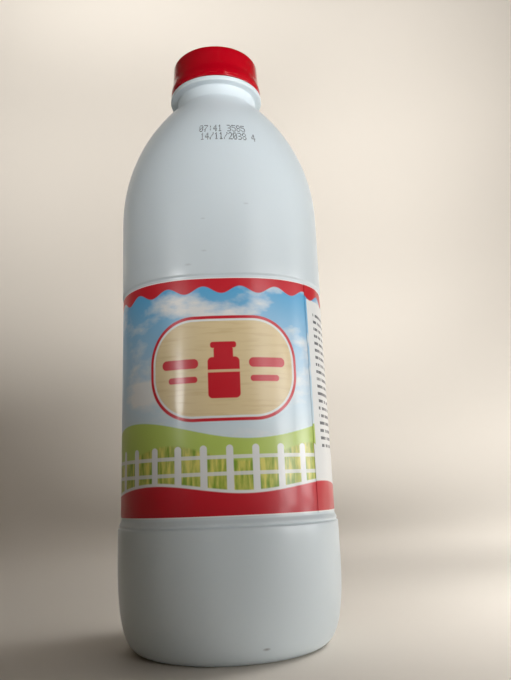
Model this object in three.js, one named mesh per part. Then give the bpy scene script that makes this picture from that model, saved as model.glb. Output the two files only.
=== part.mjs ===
// A one-litre plastic milk bottle with its screw cap and its wrap-round film label.
// Millimetres, +Z up, standing on its base. The origin is the centre of the base on the floor.
// The label's front faces -Y. A radius of the body is half its width across the flats, because
// the body is a rounded square that turns into a true circle at the neck and at the foot.

import * as THREE from 'three';

// Heights above the floor
const PUSH_UP_HEIGHT = 4.5;
const CORNER_TOP = 29.0;
const LOWER_BODY_TOP = 43.0;
const PANEL_BOTTOM = 44.2;
const LABEL_BOTTOM = 46.9;
const LABEL_TOP = 129.6;
const PANEL_TOP = 130.3;
const UPPER_BODY_BOTTOM = 131.3;
const SHOULDER_START = 162.9;
const RING_BOTTOM = 222.7;
const RING_TOP = 224.8;
const CAP_BOTTOM = 225.1;
const BAND_TOP = 227.9;
const FLARE_BOTTOM = 230.6;
const FLARE_TOP = 234.7;
const CAP_TOP = 240.0;

// Radii of the bottle
const PUSH_UP_FLAT_RADIUS = 18;
const FOOT_INNER_RADIUS = 25.7;
const FOOT_OUTER_RADIUS = 32.0;
const CORNER_RADIUS = 41.55;
const LOWER_BODY_RADIUS = 41.35;
const PANEL_BOTTOM_RADIUS = 39.6;
const PANEL_TOP_RADIUS = 39.15;
const UPPER_BODY_RADIUS = 40.0;
const SHOULDER_ARC_RADIUS = 76.3;
const NECK_FILLET_RADIUS = 2.2;
const NECK_RADIUS = 17.0;
const RING_RADIUS = 19.95;
const RING_EDGE_RADIUS = 0.5;
const FINISH_RADIUS = 16.6;

// Radii and walls of the cap
const BAND_RADIUS = 19.75;
const SKIRT_BOTTOM_RADIUS = 18.5;
const SKIRT_TOP_RADIUS = 18.35;
const CAP_EDGE_RADIUS = 1.2;
const CAP_TOP_WALL = 1.6;
const SCORE_DEPTH = 0.35;
const SCORE_WIDTH = 0.5;
const LIP_CHAMFER = 0.4;

// Cross-section and shape exponents: 2 is a circle, larger is squarer
const BODY_SQUARENESS = 2.45;
const CORNER_SQUARENESS = 2.72;
const ROUND = 2;
const SQUARE_FADE_START = 149.5;
const SQUARE_FADE_END = 220;

// Label
const FILM_THICKNESS = 0.3;
const LAP_THICKNESS = 0.15;
const SEAM_ANGLE = THREE.MathUtils.degToRad(-44);
const LAP_ANGLE = THREE.MathUtils.degToRad(11);

// Finishes: colour and roughness of each moulding and of the film
const WHITE_POLYETHYLENE = { color: 0xdfe6e9, roughness: 0.38 };
const RED_POLYPROPYLENE = { color: 0xb8101f, roughness: 0.25 };
const PRINTED_FILM = { color: 0x9cc4dc, roughness: 0.3 };

// Clearance where two pieces meet
const GAP = 0.3;

// Fineness: steps round each piece and along each curve of a profile
const BODY_SEGMENTS = 64;
const CAP_SEGMENTS = 64;
const LABEL_SEGMENTS = 96;
const PUSH_UP_STEPS = 6;
const CORNER_STEPS = 11;
const SHOULDER_STEPS = 14;
const FILLET_STEPS = 4;
const STEP_STEPS = 4;
const EDGE_STEPS = 3;

// Exponent of the cross-section at a height: round foot, squarish body, round neck.
function squareness(z) {
  const rise = THREE.MathUtils.smoothstep(z, 0, LOWER_BODY_TOP);
  const fade = 1 - THREE.MathUtils.smoothstep(z, SQUARE_FADE_START, SQUARE_FADE_END);
  return ROUND + (BODY_SQUARENESS - ROUND) * rise * fade;
}

// How far the outline stands out at an angle, for a half-width of one.
function outlineFactor(angle, exponent) {
  const across = Math.abs(Math.cos(angle)) ** exponent;
  const along = Math.abs(Math.sin(angle)) ** exponent;
  return (across + along) ** (-1 / exponent);
}

// Turns a round, Y-up lathe body into the bottle's Z-up rounded-square one.
function squareOff(geometry) {
  geometry.rotateX(Math.PI / 2);
  const position = geometry.attributes.position;
  for (let i = 0; i < position.count; i++) {
    const x = position.getX(i);
    const y = position.getY(i);
    const z = position.getZ(i);
    const factor = outlineFactor(Math.atan2(y, x), squareness(z));
    position.setXYZ(i, x * factor, y * factor, z);
  }
  return geometry;
}

// A smooth step between two points of a profile, upright at both ends.
function addStep(points, from, to) {
  for (let i = 0; i <= STEP_STEPS; i++) {
    const t = i / STEP_STEPS;
    const blend = THREE.MathUtils.smoothstep(t, 0, 1);
    points.push(new THREE.Vector2(THREE.MathUtils.lerp(from.x, to.x, blend),
      THREE.MathUtils.lerp(from.y, to.y, t)));
  }
}

// An arc of a profile, with its first and last points.
function addArc(points, centre, radius, startAngle, endAngle, steps) {
  for (let i = 0; i <= steps; i++) {
    const angle = THREE.MathUtils.lerp(startAngle, endAngle, i / steps);
    points.push(new THREE.Vector2(centre.x + radius * Math.cos(angle), centre.y + radius * Math.sin(angle)));
  }
}

// The push-up under the base, the flat standing ring and the big corner above it.
function addBase(points) {
  const pushUp = new THREE.QuadraticBezierCurve(
    new THREE.Vector2(0, PUSH_UP_HEIGHT),
    new THREE.Vector2(PUSH_UP_FLAT_RADIUS, PUSH_UP_HEIGHT),
    new THREE.Vector2(FOOT_INNER_RADIUS, 0),
  );
  points.push(...pushUp.getPoints(PUSH_UP_STEPS));
  for (let i = 0; i <= CORNER_STEPS; i++) {
    const angle = (Math.PI / 2) * (i / CORNER_STEPS);
    const outward = Math.sin(angle) ** (2 / CORNER_SQUARENESS);
    const upward = 1 - Math.cos(angle) ** (2 / CORNER_SQUARENESS);
    points.push(new THREE.Vector2(
      FOOT_OUTER_RADIUS + (CORNER_RADIUS - FOOT_OUTER_RADIUS) * outward,
      CORNER_TOP * upward,
    ));
  }
}

// The lower body, the sunk label panel with a step at each end, and the upper body.
function addBody(points) {
  addStep(points,
    new THREE.Vector2(LOWER_BODY_RADIUS, LOWER_BODY_TOP),
    new THREE.Vector2(PANEL_BOTTOM_RADIUS, PANEL_BOTTOM));
  addStep(points,
    new THREE.Vector2(PANEL_TOP_RADIUS, PANEL_TOP),
    new THREE.Vector2(UPPER_BODY_RADIUS, UPPER_BODY_BOTTOM));
}

// The shoulder's long arc, and the small hollow where it runs into the neck.
function addShoulder(points) {
  const centre = new THREE.Vector2(UPPER_BODY_RADIUS - SHOULDER_ARC_RADIUS, SHOULDER_START);
  const reach = SHOULDER_ARC_RADIUS + NECK_FILLET_RADIUS;
  const filletX = NECK_RADIUS + NECK_FILLET_RADIUS;
  const sideways = filletX - centre.x;
  const fillet = new THREE.Vector2(filletX, centre.y + Math.sqrt(reach ** 2 - sideways ** 2));
  const meeting = fillet.clone().sub(centre).angle();
  addArc(points, centre, SHOULDER_ARC_RADIUS, 0, meeting, SHOULDER_STEPS);
  const hollow = [];
  addArc(hollow, fillet, NECK_FILLET_RADIUS, meeting + Math.PI, Math.PI, FILLET_STEPS);
  points.push(...hollow.slice(1));
}

// The neck, its support ring, and the plain finish that the cap goes over.
function addNeck(points) {
  const edgeX = RING_RADIUS - RING_EDGE_RADIUS;
  points.push(new THREE.Vector2(NECK_RADIUS, RING_BOTTOM));
  addArc(points, new THREE.Vector2(edgeX, RING_BOTTOM + RING_EDGE_RADIUS), RING_EDGE_RADIUS,
    -Math.PI / 2, 0, EDGE_STEPS);
  addArc(points, new THREE.Vector2(edgeX, RING_TOP - RING_EDGE_RADIUS), RING_EDGE_RADIUS,
    0, Math.PI / 2, EDGE_STEPS);
  const finishTop = CAP_TOP - CAP_TOP_WALL - GAP;
  points.push(new THREE.Vector2(FINISH_RADIUS, RING_TOP));
  points.push(new THREE.Vector2(FINISH_RADIUS, finishTop));
  points.push(new THREE.Vector2(0, finishTop));
}

function bottleGeometry() {
  const points = [];
  addBase(points);
  addBody(points);
  addShoulder(points);
  addNeck(points);
  return squareOff(new THREE.LatheGeometry(points, BODY_SEGMENTS));
}

// A shell with a tamper band at its foot, a score above the band, and a flare up to the skirt.
function capGeometry() {
  const points = [];
  const innerRadius = FINISH_RADIUS + GAP;
  const innerTop = CAP_TOP - CAP_TOP_WALL;
  points.push(new THREE.Vector2(0, innerTop));
  points.push(new THREE.Vector2(innerRadius, innerTop));
  points.push(new THREE.Vector2(innerRadius, CAP_BOTTOM));
  points.push(new THREE.Vector2(BAND_RADIUS - LIP_CHAMFER, CAP_BOTTOM));
  points.push(new THREE.Vector2(BAND_RADIUS, CAP_BOTTOM + LIP_CHAMFER));
  points.push(new THREE.Vector2(BAND_RADIUS, BAND_TOP));
  points.push(new THREE.Vector2(BAND_RADIUS - SCORE_DEPTH, BAND_TOP + SCORE_WIDTH / 2));
  points.push(new THREE.Vector2(BAND_RADIUS, BAND_TOP + SCORE_WIDTH));
  addStep(points,
    new THREE.Vector2(BAND_RADIUS, FLARE_BOTTOM),
    new THREE.Vector2(SKIRT_BOTTOM_RADIUS, FLARE_TOP));
  const edge = new THREE.Vector2(SKIRT_TOP_RADIUS - CAP_EDGE_RADIUS, CAP_TOP - CAP_EDGE_RADIUS);
  addArc(points, edge, CAP_EDGE_RADIUS, 0, Math.PI / 2, EDGE_STEPS);
  points.push(new THREE.Vector2(0, CAP_TOP));
  const geometry = new THREE.LatheGeometry(points, CAP_SEGMENTS);
  geometry.rotateX(Math.PI / 2);
  return geometry;
}

// One turn round the body seen from above, as a closed outline. radiusAt takes the step's number.
function filmOutline(radiusAt, steps, path) {
  const points = [];
  for (let i = 0; i < steps; i++) {
    const angle = SEAM_ANGLE + (i / LABEL_SEGMENTS) * 2 * Math.PI;
    const radius = radiusAt(i) * outlineFactor(angle, BODY_SQUARENESS);
    points.push(new THREE.Vector2(radius * Math.cos(angle), radius * Math.sin(angle)));
  }
  return path.setFromPoints(points);
}

// The film sleeve, which narrows upwards with the panel behind it. Past the seam, where one end
// of the film lies over the other, its outside stands out a little further.
function labelGeometry() {
  const inner = PANEL_BOTTOM_RADIUS + GAP;
  const outer = inner + FILM_THICKNESS;
  const lapSteps = Math.round((LAP_ANGLE / (2 * Math.PI)) * LABEL_SEGMENTS);
  const outerRadius = (i) => (i < lapSteps ? outer + LAP_THICKNESS : outer);
  const outside = filmOutline(outerRadius, LABEL_SEGMENTS + 1, new THREE.Shape());
  outside.holes.push(filmOutline(() => inner, LABEL_SEGMENTS, new THREE.Path()));
  const height = LABEL_TOP - LABEL_BOTTOM;
  const geometry = new THREE.ExtrudeGeometry(outside, { depth: height, bevelEnabled: false });
  const draft = (PANEL_BOTTOM_RADIUS - PANEL_TOP_RADIUS) / (PANEL_TOP - PANEL_BOTTOM);
  const position = geometry.attributes.position;
  for (let i = 0; i < position.count; i++) {
    const z = position.getZ(i) + LABEL_BOTTOM;
    const narrowing = 1 - (draft * (z - PANEL_BOTTOM)) / outer;
    position.setXYZ(i, position.getX(i) * narrowing, position.getY(i) * narrowing, z);
  }
  return geometry;
}

function addMesh(group, name, geometry, finish) {
  const mesh = new THREE.Mesh(geometry, new THREE.MeshStandardMaterial({ ...finish, metalness: 0 }));
  mesh.name = name;
  group.add(mesh);
}

const group = new THREE.Group();
addMesh(group, 'bottle', bottleGeometry(), WHITE_POLYETHYLENE);
addMesh(group, 'cap', capGeometry(), RED_POLYPROPYLENE);
addMesh(group, 'label', labelGeometry(), PRINTED_FILM);

export default group;
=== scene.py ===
# A one-litre white plastic milk bottle with its red screw cap and wrap-round film label.
# It is laid out as a Blender add-on and is run as a script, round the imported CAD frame.
# Metres, +Z up. The origin is the centre of the base, and the label's front faces -Y.
# A radius of the body is half its width across the flats, because the body is a rounded square.

import math
import random
from bisect import bisect_right

import bpy
from bpy.props import FloatProperty, FloatVectorProperty, IntProperty, PointerProperty
from bpy.types import NodeSocket, Operator, Panel, PropertyGroup
from mathutils import Euler, Matrix, Vector, noise


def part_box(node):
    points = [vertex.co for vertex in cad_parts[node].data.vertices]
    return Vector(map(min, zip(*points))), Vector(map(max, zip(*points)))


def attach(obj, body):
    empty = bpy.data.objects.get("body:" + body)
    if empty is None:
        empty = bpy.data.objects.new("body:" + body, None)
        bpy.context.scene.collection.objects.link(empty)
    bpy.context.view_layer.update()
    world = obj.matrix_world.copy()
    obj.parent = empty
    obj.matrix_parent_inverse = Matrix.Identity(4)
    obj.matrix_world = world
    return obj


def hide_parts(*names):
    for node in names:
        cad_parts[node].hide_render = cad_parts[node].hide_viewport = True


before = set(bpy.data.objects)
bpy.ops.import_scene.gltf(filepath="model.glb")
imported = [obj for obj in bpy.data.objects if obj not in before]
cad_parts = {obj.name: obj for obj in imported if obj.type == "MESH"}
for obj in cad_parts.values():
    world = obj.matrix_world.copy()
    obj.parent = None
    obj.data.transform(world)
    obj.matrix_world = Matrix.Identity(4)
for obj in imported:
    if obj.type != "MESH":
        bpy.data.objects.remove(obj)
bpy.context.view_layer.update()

bl_info = {
    "name": "Milk Bottle",
    "version": (1, 0, 0),
    "blender": (4, 5, 0),
    "location": "3D View > Sidebar > Milk Bottle",
    "description": "Models a one-litre plastic milk bottle with its cap, label, stamped code and studio",
    "category": "Add Mesh",
}

MM = 0.001
BOTTLE_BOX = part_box("bottle")
CAP_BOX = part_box("cap")
LABEL_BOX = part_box("label")

# Points closer together than this are one point of a mesh
WELD_DISTANCE = 1e-6

# Angles round the axis: the label's seam, where its outer end lies on top, how far the film runs
# on beneath it, and the front
SEAM_ANGLE = math.radians(-44)
LAP_ANGLE = math.radians(11)
FRONT_ANGLE = math.radians(-90)

# How far the film's foot stands out from the CAD label, as the photograph shows it
FILM_STAND_OUT = 0.17 * MM

# Where the Mix node keeps its colour sockets in its lists of inputs and outputs
MIX_FACTOR = 0
MIX_BELOW = 6
MIX_ABOVE = 7
MIX_RESULT = 2


def linear(hex_colour):
    """The linear RGBA of an sRGB hex colour."""
    channels = [int(hex_colour[i:i + 2], 16) / 255 for i in (1, 3, 5)]
    low = [c / 12.92 for c in channels]
    high = [((c + 0.055) / 1.055) ** 2.4 for c in channels]
    return (*[h if c > 0.04045 else l for c, l, h in zip(channels, low, high)], 1.0)


def length(name, description, metres):
    """A size that a user can change."""
    return FloatProperty(name=name, description=description, default=metres, precision=5,
                         subtype="DISTANCE", unit="LENGTH")


def colour(name, description, hex_colour):
    """A colour that a user can change."""
    return FloatVectorProperty(name=name, description=description, default=linear(hex_colour),
                               size=4, min=0, max=1, subtype="COLOR")


def angle(name, description, radians):
    """An angle that a user can change."""
    return FloatProperty(name=name, description=description, default=radians,
                         subtype="ANGLE", unit="ROTATION")


def power(name, description, watts):
    """A light's power that a user can change."""
    return FloatProperty(name=name, description=description, default=watts, min=0, unit="POWER")


# Sizes and colours

class BottleSizes(PropertyGroup):
    """Heights and radii of the blown bottle."""
    push_up_height: length("Push-up", "Height of the hollow under the base", 4.5 * MM)
    corner_top: length("Corner top", "Height where the rounded foot ends", 29.0 * MM)
    lower_body_top: length("Lower body top", "Height of the ledge below the label", 43.0 * MM)
    crease_height: length("Crease", "Height of the fine crease above the lower body", 43.9 * MM)
    crease_depth: length("Crease depth", "Depth of the fine crease above the lower body", 0.22 * MM)
    panel_bottom: length("Panel bottom", "Height where the label panel starts", 46.4 * MM)
    panel_top: length("Panel top", "Height where the label panel ends", 130.3 * MM)
    upper_body_bottom: length("Upper body bottom", "Height of the ledge above the label", 131.3 * MM)
    shoulder_start: length("Shoulder start", "Height where the shoulder's arc starts", 162.9 * MM)
    ring_bottom: length("Ring bottom", "Height of the support ring's underside", 222.7 * MM)
    ring_top: length("Ring top", "Height of the support ring's top", 224.8 * MM)
    finish_top: length("Finish top", "Height of the neck under the cap", BOTTLE_BOX[1].z)
    push_up_flat_radius: length("Push-up flat", "Radius of the push-up's flat middle", 18.0 * MM)
    foot_inner_radius: length("Foot inner", "Inner radius of the standing ring", 25.7 * MM)
    foot_outer_radius: length("Foot outer", "Outer radius of the standing ring", 32.0 * MM)
    corner_radius: length("Corner", "Radius above the rounded foot", BOTTLE_BOX[1].x)
    lower_body_radius: length("Lower body", "Radius just below the label", 41.35 * MM)
    panel_bottom_radius: length("Panel foot", "Radius at the foot of the label panel", 40.2 * MM)
    panel_top_radius: length("Panel head", "Radius at the head of the label panel", 39.58 * MM)
    upper_body_radius: length("Upper body", "Radius above the label", 40.0 * MM)
    shoulder_arc_radius: length("Shoulder arc", "Radius of the shoulder's long arc", 76.3 * MM)
    neck_fillet_radius: length("Neck fillet", "Radius of the hollow below the neck", 2.2 * MM)
    neck_radius: length("Neck", "Radius of the neck below the ring", 17.0 * MM)
    ring_radius: length("Ring", "Radius of the support ring", 19.95 * MM)
    ring_edge_radius: length("Ring edge", "Rounding of the support ring's edge", 0.5 * MM)
    finish_radius: length("Finish", "Radius of the neck under the cap", 16.6 * MM)
    square_fade_start: length("Square fade start", "Height where the body starts to turn round", 149.5 * MM)
    square_fade_end: length("Square fade end", "Height where the shoulder is round", 220.0 * MM)
    body_squareness: FloatProperty(name="Squareness", default=2.45, min=2, max=6,
                                   description="Exponent of the body's cross-section; 2 is a circle")
    corner_squareness: FloatProperty(name="Foot squareness", default=2.72, min=2, max=6,
                                     description="Exponent of the foot's profile; 2 is an ellipse")
    parting_line_height: length("Parting line", "How far the mould's parting line stands out", 0.09 * MM)
    parting_line_width: length("Parting line width", "Width of the mould's parting line", 0.7 * MM)
    weld_height: length("Weld", "Height of the pinch-off weld under the base", 0.5 * MM)
    weld_length: length("Weld length", "Length of the pinch-off weld under the base", 40.0 * MM)
    wall_waviness: length("Waviness", "How far the blown wall wanders in and out", 0.07 * MM)
    steps_round: IntProperty(name="Steps", description="Steps round the body", default=224, min=48)


class CapSizes(PropertyGroup):
    """Heights and radii of the screw cap."""
    bottom: length("Bottom", "Height of the tamper band's lower edge", CAP_BOX[0].z)
    band_top: length("Band top", "Height of the score above the tamper band", 226.4 * MM)
    flare_bottom: length("Flare bottom", "Height where the flare starts", 226.9 * MM)
    flare_top: length("Flare top", "Height where the flare ends", 232.2 * MM)
    top: length("Top", "Height of the cap's top", CAP_BOX[1].z)
    band_radius: length("Band", "Radius of the tamper band", CAP_BOX[1].x)
    skirt_bottom_radius: length("Skirt foot", "Radius at the foot of the skirt", 18.85 * MM)
    skirt_top_radius: length("Skirt head", "Radius at the head of the skirt", 18.55 * MM)
    edge_radius: length("Edge", "Rounding of the top edge", 1.2 * MM)
    top_wall: length("Top wall", "Thickness of the cap's top", 1.6 * MM)
    inner_radius: length("Inside", "Radius inside the skirt", 16.9 * MM)
    score_depth: length("Score depth", "Depth of the score above the band", 0.15 * MM)
    score_width: length("Score width", "Width of the score above the band", 0.25 * MM)
    lip_radius: length("Lip", "Rounding of the band's lower edge", 0.4 * MM)
    gate_radius: length("Gate", "Radius of the dimple where the cap was injected", 3.2 * MM)
    gate_depth: length("Gate depth", "Depth of the injection dimple", 0.25 * MM)
    bridges: IntProperty(name="Bridges", description="Bridges across the score", default=18, min=3)
    steps_round: IntProperty(name="Steps", description="Steps round the cap", default=216, min=48)


class LabelSizes(PropertyGroup):
    """Sizes of the film and of what is printed on it."""
    bottom: length("Bottom", "Height of the film's lower edge", LABEL_BOX[0].z)
    top: length("Top", "Height of the film's upper edge", LABEL_BOX[1].z)
    radius: length("Radius", "Outside of the film at its foot", LABEL_BOX[1].x + FILM_STAND_OUT)
    film_thickness: length("Film", "Thickness of the film", 0.12 * MM)
    lap_offset: length("Lap", "How far the outer end stands off the inner one", 0.17 * MM)
    edge_draw_in: length("Edge draw-in", "How far the film's edges shrink onto the bottle", 0.03 * MM)
    ripple: length("Ripple", "Height of the ripples along the film's edges", 0.1 * MM)
    margin: length("Margin", "Unprinted margin along both edges", 0.4 * MM)
    band_height: length("Band", "Height of the red band along the foot", 9.0 * MM)
    plate_half_width: length("Plate half-width", "Half the width of the front plate", 27.0 * MM)
    plate_half_height: length("Plate half-height", "Half the height of the front plate", 18.5 * MM)
    steps_round: IntProperty(name="Steps", description="Steps round the film", default=320, min=48)
    steps_up: IntProperty(name="Rows", description="Steps up the film", default=40, min=6)


class CodeSizes(PropertyGroup):
    """Sizes of the number stamped on the shoulder in ink dots."""
    upper_height: length("Upper row", "Height of the upper row's middle", 191.65 * MM)
    lower_height: length("Lower row", "Height of the lower row's middle", 187.45 * MM)
    upper_start: angle("Upper start", "Where the upper row starts", math.radians(-101.0))
    lower_start: angle("Lower start", "Where the lower row starts", math.radians(-99.9))
    character_pitch: length("Pitch", "From one figure to the next", 1.79 * MM)
    column_pitch: length("Columns", "From one column of dots to the next", 0.285 * MM)
    row_pitch: length("Rows", "From one row of dots to the next", 0.53 * MM)
    dot_radius: length("Dot", "Radius of an ink dot", 0.24 * MM)
    dot_height: length("Dot height", "Height of an ink dot", 0.03 * MM)


class FinishColours(PropertyGroup):
    """Colours of the mouldings, the film's inks and the studio."""
    white_polyethylene: colour("Bottle", "Opaque white polyethylene", "#dbe5ea")
    shaded_polyethylene: colour("Bottle, thin", "Where the wall is thinner", "#d1dce2")
    scuff_grey: colour("Scuffs", "Dirt in the scuffs", "#8f9296")
    red_polyethylene: colour("Cap", "Red polyethylene", "#b80018")
    deep_red: colour("Cap, thick", "Where the red lies thicker", "#ac0015")
    ink_grey: colour("Stamped ink", "Solvent ink of the stamped number", "#1c1e22")
    film_white: colour("Film white", "White under-print of the film", "#eef0f0")
    sky_high: colour("High sky", "Blue at the top of the label", "#5db0e0")
    sky_low: colour("Low sky", "Pale blue above the hills", "#dcebf2")
    far_green: colour("Far hill", "Green of the far hill", "#bdd468")
    near_green: colour("Near hill", "Green of the near hill", "#86a836")
    straw_yellow: colour("Straw", "Yellow among the grass", "#e6df74")
    print_red: colour("Print red", "Red ink of the film", "#cf1a2c")
    deep_print_red: colour("Deep print red", "Red ink at the band's foot", "#c21527")
    plate_beige: colour("Plate", "Beige of the front plate", "#e8d3a6")
    plate_shade: colour("Plate grain", "Darker streaks of the front plate", "#dcc392")
    rule_grey: colour("Rules", "Grey of the rules on the plain panel", "#5b6068")
    floor_cream: colour("Floor", "Pale floor and backdrop", "#c2bbb1")


class StudioSettings(PropertyGroup):
    """The camera's place and aim, and the lights."""
    camera_distance: length("Distance", "Camera in front of the bottle's axis", 264.60 * MM)
    camera_height: length("Height", "Camera above the floor", 55.22 * MM)
    camera_yaw: angle("Yaw", "How far the camera looks to the right", 0.0499)
    camera_pitch: angle("Pitch", "How far the camera looks up", 0.22283)
    camera_roll: angle("Roll", "How far the camera leans", 0.04113)
    camera_lens: FloatProperty(name="Lens", default=34.97, min=1, unit="CAMERA",
                               description="Focal length for a sensor 36 mm on its long side")
    floor_radius: length("Floor", "Radius of the flat floor", 0.5)
    backdrop_radius: length("Backdrop", "Radius of the curved backdrop", 1.6)
    backdrop_height: length("Backdrop height", "Height of the curved backdrop", 2.4)
    side_power: power("Side light", "The soft light from the right, low down", 0.131)
    front_power: power("Front light", "The soft light from the front right, low down", 0.134)
    shoulder_power: power("Shoulder lights", "The two narrow lights on the shoulder and upper body", 0.056)
    neck_power: power("Neck light", "The narrow light on the neck from below", 0.022)
    backdrop_power: power("Backdrop lights", "All the lights that reach the backdrop alone", 19.0)
    floor_power: power("Floor lights", "All the lights that reach the floor alone", 4.56)
    back_power: power("Back lights", "The two lights on the side that faces away from the camera", 0.5)
    sky_strength: FloatProperty(name="Sky", description="Strength of the even light from all round",
                                default=0.02, min=0)


# Profiles, as lists of (radius, height)

def smoothstep(value, low, high):
    """Rises smoothly from zero at low to one at high."""
    t = min(1.0, max(0.0, (value - low) / (high - low)))
    return t * t * (3 - 2 * t)


def arc(centre, radius, start, end, steps):
    """Points of an arc of a profile, with its first and last."""
    turns = [start + (end - start) * i / steps for i in range(steps + 1)]
    return [(centre[0] + radius * math.cos(t), centre[1] + radius * math.sin(t)) for t in turns]


def straight(start, end, steps):
    """Points of a straight stretch, without its first and last."""
    return [(start[0] + (end[0] - start[0]) * i / steps, start[1] + (end[1] - start[1]) * i / steps)
            for i in range(1, steps)]


def ledge(start, end, steps=8):
    """A smooth step between two points, upright at both ends."""
    return [(start[0] + (end[0] - start[0]) * smoothstep(i, 0, steps),
             start[1] + (end[1] - start[1]) * i / steps) for i in range(steps + 1)]


def shoulder_centre(sizes):
    """Centre of the shoulder's long arc."""
    return sizes.upper_body_radius - sizes.shoulder_arc_radius, sizes.shoulder_start


def base_profile(sizes, push_up_steps=14, corner_steps=26):
    """The push-up, the flat standing ring and the rounded foot above it."""
    points = []
    for i in range(push_up_steps + 1):
        t = i / push_up_steps
        radius = 2 * t * (1 - t) * sizes.push_up_flat_radius + t * t * sizes.foot_inner_radius
        points.append((radius, (1 - t * t) * sizes.push_up_height))
    for i in range(corner_steps + 1):
        turn = math.pi / 2 * i / corner_steps
        outward = math.sin(turn) ** (2 / sizes.corner_squareness)
        upward = 1 - max(0.0, math.cos(turn)) ** (2 / sizes.corner_squareness)
        radius = sizes.foot_outer_radius + (sizes.corner_radius - sizes.foot_outer_radius) * outward
        points.append((radius, sizes.corner_top * upward))
    return points


def body_profile(sizes, lower_steps=5, crease_steps=6, lip_steps=4, panel_steps=20, upper_steps=8):
    """The lower body, the sunk label panel with a ledge at each end, and the upper body."""
    corner = (sizes.corner_radius, sizes.corner_top)
    lower = (sizes.lower_body_radius, sizes.lower_body_top)
    panel_foot = (sizes.panel_bottom_radius, sizes.panel_bottom)
    panel_head = (sizes.panel_top_radius, sizes.panel_top)
    upper = (sizes.upper_body_radius, sizes.upper_body_bottom)
    shoulder = (sizes.upper_body_radius, sizes.shoulder_start)

    # The crease runs along the lower ledge, and its upper lip lies between the two radii
    lip_share = 0.65
    lip_rise = 0.5 * MM
    lip_radius = (1 - lip_share) * sizes.panel_bottom_radius + lip_share * sizes.lower_body_radius
    lip = (lip_radius, sizes.crease_height + lip_rise)
    crease = (lip_radius - sizes.crease_depth, sizes.crease_height)
    points = straight(corner, lower, lower_steps)
    points += ledge(lower, crease, crease_steps)
    points += ledge(crease, lip, lip_steps)[1:]
    points += ledge(lip, panel_foot)[1:]
    points += straight(panel_foot, panel_head, panel_steps)
    points += ledge(panel_head, upper)
    return points + straight(upper, shoulder, upper_steps)


def shoulder_profile(sizes, arc_steps=34, fillet_steps=8):
    """The shoulder's long arc, and the small hollow where it runs into the neck."""
    centre = shoulder_centre(sizes)
    fillet_radius = sizes.neck_radius + sizes.neck_fillet_radius
    reach = sizes.shoulder_arc_radius + sizes.neck_fillet_radius
    rise = math.sqrt(reach ** 2 - (fillet_radius - centre[0]) ** 2)
    meeting = math.atan2(rise, fillet_radius - centre[0])
    fillet = (fillet_radius, centre[1] + rise)
    points = arc(centre, sizes.shoulder_arc_radius, 0, meeting, arc_steps)
    return points + arc(fillet, sizes.neck_fillet_radius, meeting + math.pi, math.pi, fillet_steps)[1:]


def neck_profile(sizes, edge_steps=5):
    """The neck, its support ring, and the plain finish that the cap goes over."""
    edge = sizes.ring_edge_radius
    fillet = (sizes.neck_radius + edge, sizes.ring_bottom - edge)
    foot = (sizes.ring_radius - edge, sizes.ring_bottom + edge)
    head = (sizes.ring_radius - edge, sizes.ring_top - edge)
    points = [(sizes.neck_radius, sizes.ring_bottom - 2 * edge)]
    points += arc(fillet, edge, math.pi, math.pi / 2, edge_steps)
    points += arc(foot, edge, -math.pi / 2, 0, edge_steps)
    points += arc(head, edge, 0, math.pi / 2, edge_steps)
    points.append((sizes.finish_radius, sizes.ring_top))
    points.append((sizes.finish_radius, sizes.finish_top))
    points.append((0.0, sizes.finish_top))
    return points


def cap_profile(sizes, lip_steps=4, score_steps=3, flare_steps=12, skirt_steps=3, edge_steps=8):
    """The inside, the band's rounded lip, the score, the flare, the skirt and the dimpled top."""
    inner_top = sizes.top - sizes.top_wall
    lip = (sizes.band_radius - sizes.lip_radius, sizes.bottom + sizes.lip_radius)
    score_foot = (sizes.band_radius, sizes.band_top)
    score_middle = (sizes.band_radius - sizes.score_depth, sizes.band_top + sizes.score_width / 2)
    score_head = (sizes.band_radius, sizes.band_top + sizes.score_width)
    flare_foot = (sizes.band_radius, sizes.flare_bottom)
    flare_head = (sizes.skirt_bottom_radius, sizes.flare_top)
    edge = (sizes.skirt_top_radius - sizes.edge_radius, sizes.top - sizes.edge_radius)
    points = [(0.0, inner_top), (sizes.inner_radius, inner_top), (sizes.inner_radius, sizes.bottom)]
    points += arc(lip, sizes.lip_radius, -math.pi / 2, 0, lip_steps)
    points += [score_foot, score_middle, score_head]
    points += straight(score_head, flare_foot, score_steps)
    points += ledge(flare_foot, flare_head, flare_steps)
    points += straight(flare_head, (sizes.skirt_top_radius, edge[1]), skirt_steps)
    points += arc(edge, sizes.edge_radius, 0, math.pi / 2, edge_steps)

    # The dimple is level at its rim and its floor, so its ledge is made with the two axes swapped
    dimple_floor = sizes.top - sizes.gate_depth
    dimple_rim_radius = 2 * sizes.gate_radius
    dimple_floor_radius = 1.4 * sizes.gate_radius
    dimple = ledge((sizes.top, dimple_rim_radius), (dimple_floor, dimple_floor_radius))
    points += [(radius, height) for height, radius in dimple]
    points.append((0.0, dimple_floor))
    return points


# The bottle's surface

def squareness(sizes, height):
    """Exponent of the cross-section at a height: round foot, squarish body, round neck."""
    rise = smoothstep(height, 0, sizes.lower_body_top)
    fade = 1 - smoothstep(height, sizes.square_fade_start, sizes.square_fade_end)
    return 2 + (sizes.body_squareness - 2) * rise * fade


def outline_factor(turn, exponent):
    """How far the cross-section stands out at an angle, for a half-width of one."""
    return (abs(math.cos(turn)) ** exponent + abs(math.sin(turn)) ** exponent) ** (-1 / exponent)


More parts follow.
